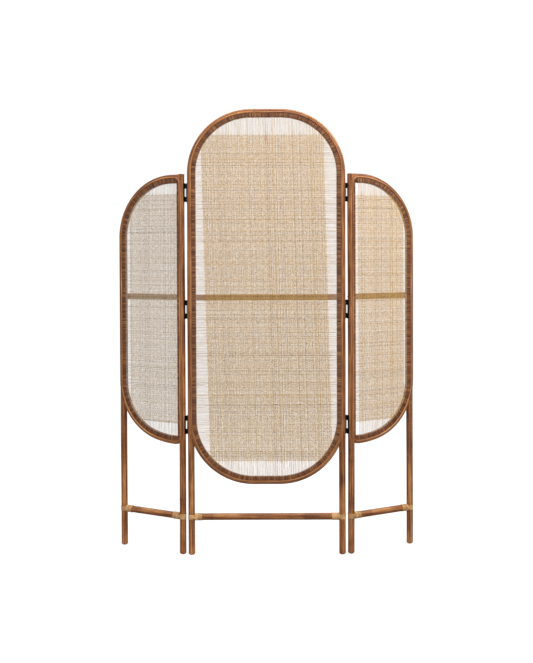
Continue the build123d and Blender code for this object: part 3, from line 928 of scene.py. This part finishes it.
def raffia_material(name, colours, free_tint_and_backlight, marked=False):
    """Raffia thread: changes of colour along each thread, dark flecks, and paler free ends, partly
    bleached raffia and partly painted light shining through the single threads.
    """
    nodes = Nodes(name)
    tone = nodes.attribute("tone").outputs["Fac"]
    woven = nodes.attribute("woven").outputs["Fac"]
    grain = nodes.attribute("grain").outputs["Vector"]
    lengths = nodes.noise(grain, 130, 3, 0.6)
    fibres = nodes.noise(nodes.mapped(grain, (1.0, 1.0, 0.08)), 1600, 2, 0.6)
    mixed = nodes.math("ADD", nodes.math("MULTIPLY", tone, 0.22),
                       nodes.math("ADD", nodes.math("MULTIPLY", lengths, 0.60),
                                  nodes.math("MULTIPLY", fibres, 0.18)))
    dark, middle, light = colours
    colour = nodes.ramp(mixed, [(0.33, dark), (0.5, middle), (0.66, light)])
    flecks = nodes.ramp(nodes.noise(grain, 130, 1, 0.4),
                        [(0.22, (0.42, 0.36, 0.30)), (0.34, (1, 1, 1))])
    colour = nodes.mix("MULTIPLY", 0.85, colour, flecks)
    # Painted light: where a thread crosses nothing it is mixed toward a paler tint, partly the
    # bleached raffia and partly the light shining through a single thread.
    pale = nodes.mix("MIX", 0.55, colour, free_tint_and_backlight)
    colour = nodes.mix("MIX", woven, pale, colour)
    if marked:
        colour = add_mark(nodes, colour)
    nodes.colour(colour)
    nodes.roughness(fibres, 0.6, 0.85)
    nodes.bump(fibres, 0.3, 0.0003)
    nodes.shader.inputs["Specular IOR Level"].default_value = 0.25
    return nodes.material


def metal_material(name, colour, metallic, roughness):
    """Painted or plated hinge metal, with faint mottling and scuffs."""
    nodes = Nodes(name)
    place = nodes.node("ShaderNodeTexCoord").outputs["Object"]
    scuffs = nodes.noise(place, 260, 6, 0.7)
    dark = tuple(0.75 * value for value in colour)
    light = tuple(min(1.0, 1.35 * value) for value in colour)
    nodes.colour(nodes.ramp(scuffs, [(0.35, dark), (0.65, light)]))
    nodes.roughness(scuffs, roughness - 0.08, roughness + 0.12)
    nodes.bump(scuffs, 0.15, 0.0003)
    nodes.shader.inputs["Metallic"].default_value = metallic
    return nodes.material


def make_materials():
    """Every material of the screen. Lists of colours run from the darkest to the lightest."""
    return {
        "pole": rattan_material("stained_rattan", (0.080, 0.020, 0.005), (0.285, 0.092, 0.021),
                                (0.610, 0.285, 0.100)),
        # A darker, redder copy of the pole rattan for the crossbar: painted shade, for where it lies
        # behind the cloth.
        "crossbar": rattan_material("crossbar_shaded_rattan", (0.105, 0.024, 0.006),
                                    (0.290, 0.070, 0.016), (0.540, 0.185, 0.052)),
        "ring": rattan_material("ring_rattan", (0.090, 0.024, 0.007), (0.270, 0.088, 0.023),
                                (0.520, 0.235, 0.085)),
        # The bead's rattan is paler than the poles': partly its own lighter colour, partly a painted
        # highlight along its rounded front.
        "bead": rattan_material("bead_rattan", (0.190, 0.062, 0.018), (0.380, 0.145, 0.045),
                                (0.600, 0.290, 0.110)),
        "band": strand_material("dark_winding", [(0.030, 0.008, 0.003), (0.145, 0.045, 0.012),
                                                 (0.225, 0.080, 0.024), (0.480, 0.220, 0.080)],
                                (0.45, 0.7), 0.0004, tone_share=0.45, patch_size=170),
        "peel": strand_material("golden_peel", [(0.340, 0.165, 0.055), (0.550, 0.300, 0.115),
                                                (0.760, 0.470, 0.215)], (0.35, 0.55), 0.0004),
        # The last colour of each cloth is the paler tint of its free threads: partly bleached raffia,
        # partly painted light shining through single threads.
        "centre_cloth": raffia_material(
            "raffia_centre", ((0.240, 0.128, 0.058), (0.522, 0.322, 0.118), (0.630, 0.412, 0.175)),
            (0.54, 0.45, 0.40), marked=True),
        "left_cloth": raffia_material(
            "raffia_left", ((0.300, 0.205, 0.128), (0.550, 0.412, 0.265), (0.655, 0.512, 0.360)),
            (0.54, 0.46, 0.42)),
        "right_cloth": raffia_material(
            "raffia_right", ((0.300, 0.160, 0.070), (0.558, 0.340, 0.122), (0.672, 0.435, 0.175)),
            (0.58, 0.48, 0.42)),
        "black": metal_material("black_hinge_metal", (0.010, 0.009, 0.009), 0.3, 0.42),
        "pin": metal_material("bare_pin_metal", (0.62, 0.62, 0.64), 0.7, 0.40),
        "steel": metal_material("plated_screw", (0.42, 0.34, 0.22), 0.9, 0.38),
    }


def dress_cad_nodes(materials):
    """Better materials for the CAD nodes that stay: hinges, pins and screws."""
    for name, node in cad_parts.items():
        if name.endswith("_leaf"):
            chosen = materials["black"]
        elif name.endswith("_pin"):
            chosen = materials["pin"]
        elif name.endswith("leaf_screws"):
            chosen = materials["black"]
        elif name.endswith("_screws"):
            chosen = materials["steel"]
        else:
            continue
        node.data.materials.clear()
        node.data.materials.append(chosen)


# ---------------------------------------------------------------- stage
# Distances are in metres, the lens in millimetres and angles in radians.
CAMERA_DISTANCE = 4.05
CAMERA_HEIGHT = 1.242
CAMERA_LENS = 54.54
CAMERA_SHIFT_X = 0.0005
CAMERA_SHIFT_Y = -0.0980
CAMERA_DOWN = 0.0188
CAMERA_ROLL = 0.0036
FLOOR_SIZE = 16.0
FLOOR_POINTS = 33
FLOOR_GLOW = 0.80
WORLD_BASE = 0.05
WORLD_ABOVE = 0.70
WORLD_SIDE = 0.22
WORLD_FRONT = 0.58
WORLD_SEEN = 1.05


def make_camera(plane_y):
    """The camera, in front of the plane of the centre panel's poles."""
    camera = bpy.data.objects.new("camera", bpy.data.cameras.new("camera"))
    camera.data.lens = CAMERA_LENS
    camera.data.sensor_width = 36
    camera.data.shift_x = CAMERA_SHIFT_X
    camera.data.shift_y = CAMERA_SHIFT_Y
    camera.location = (0, plane_y - CAMERA_DISTANCE, CAMERA_HEIGHT)
    camera.rotation_euler = (math.pi / 2 - CAMERA_DOWN, CAMERA_ROLL, 0)
    bpy.context.scene.collection.objects.link(camera)
    bpy.context.scene.camera = camera


def make_light(name, place, target, size, power, colour=(1, 1, 1)):
    """A square lamp that faces its target."""
    lamp = bpy.data.lights.new(name, "AREA")
    lamp.size = size
    lamp.energy = power
    lamp.color = colour
    made = bpy.data.objects.new(name, lamp)
    made.location = place
    made.rotation_euler = (Vector(target) - Vector(place)).to_track_quat("-Z", "Y").to_euler()
    bpy.context.scene.collection.objects.link(made)


def make_floor():
    """A wide pale floor that glows enough to read as white. The screen's own surfaces are
    lit as if it weren't there: diffuse and glossy rays don't see it."""
    places = [(index / (FLOOR_POINTS - 1) - 0.5) * FLOOR_SIZE for index in range(FLOOR_POINTS)]
    points = [(x, y, 0.0) for y in places for x in places]
    mesh = bpy.data.meshes.new("floor")
    mesh.from_pydata(points, [], grid_faces(FLOOR_POINTS, FLOOR_POINTS))
    nodes = Nodes("pale_floor")
    place = nodes.node("ShaderNodeTexCoord").outputs["Object"]
    cloudy = nodes.noise(place, 3, 2, 0.5)
    nodes.colour(nodes.ramp(cloudy, [(0.3, (0.30, 0.30, 0.30)), (0.7, (0.33, 0.33, 0.33))]))
    nodes.shader.inputs["Roughness"].default_value = 0.9
    nodes.shader.inputs["Specular IOR Level"].default_value = 0.0
    nodes.shader.inputs["Emission Color"].default_value = (1, 1, 1, 1)
    nodes.shader.inputs["Emission Strength"].default_value = FLOOR_GLOW
    mesh.materials.append(nodes.material)
    floor = bpy.data.objects.new("floor", mesh)
    floor.visible_diffuse = False
    floor.visible_glossy = False
    bpy.context.scene.collection.objects.link(floor)


def make_world():
    """A studio: brightest overhead, dim behind and below, and plain white to the camera."""
    world = bpy.data.worlds.new("studio")
    world.use_nodes = True
    tree = world.node_tree

    split = tree.nodes.new("ShaderNodeSeparateXYZ")
    tree.links.new(tree.nodes.new("ShaderNodeTexCoord").outputs["Generated"], split.inputs[0])
    side = math_node(tree, "ABSOLUTE", split.outputs["X"], 0)
    front = math_node(tree, "MULTIPLY", split.outputs["Y"], -1)
    front = math_node(tree, "MAXIMUM", front, 0)
    above = math_node(tree, "MAXIMUM", split.outputs["Z"], 0)
    light = WORLD_BASE
    for part, share in ((above, WORLD_ABOVE), (side, WORLD_SIDE), (front, WORLD_FRONT)):
        light = math_node(tree, "ADD", light, math_node(tree, "MULTIPLY", part, share))
    eye = tree.nodes.new("ShaderNodeLightPath").outputs["Is Camera Ray"]
    strength = tree.nodes.new("ShaderNodeMix")
    tree.links.new(eye, strength.inputs[0])
    tree.links.new(light, strength.inputs[2])
    strength.inputs[3].default_value = WORLD_SEEN
    background = tree.nodes["Background"]
    background.inputs["Color"].default_value = (1, 1, 1, 1)
    tree.links.new(strength.outputs[0], background.inputs["Strength"])
    bpy.context.scene.world = world


def make_stage(plane_y):
    """Camera, floor, world and lamps."""
    make_camera(plane_y)
    make_floor()
    make_world()
    make_light("key", (1.9, -1.7, 2.9), (0.1, plane_y, 1.2), 0.9, 34, (1.0, 0.985, 0.96))
    make_light("top", (0.30, -0.30, 3.0), (0.05, plane_y, 1.7), 0.8, 20, (1.0, 0.98, 0.95))
    make_light("rim", (1.7, 0.25, 2.7), (0.4, plane_y, 1.5), 0.6, 12, (1.0, 0.97, 0.93))
    make_light("fill", (-2.4, -1.9, 2.4), (-0.2, plane_y, 1.2), 1.6, 11)
    make_light("back", (-0.9, 2.3, 2.6), (0, plane_y, 1.0), 1.2, 16, (1.0, 0.98, 0.95))
    scene = bpy.context.scene
    scene.view_settings.view_transform = "Standard"
    scene.view_settings.look = "None"


# ---------------------------------------------------------------- build
materials = make_materials()
panels = [Panel("centre", 1), Panel("left", 2), Panel("right", 3)]
make_stage(panels[0].origin.y)
dress_cad_nodes(materials)
for panel in panels:
    make_poles(panel, materials)
    make_ring(panel, materials["ring"])
    make_bead(panel, materials["bead"])
    make_band(panel, materials["band"])
    make_cloth(panel, materials[f"{panel.name}_cloth"])
    make_bindings(panel, materials["peel"])
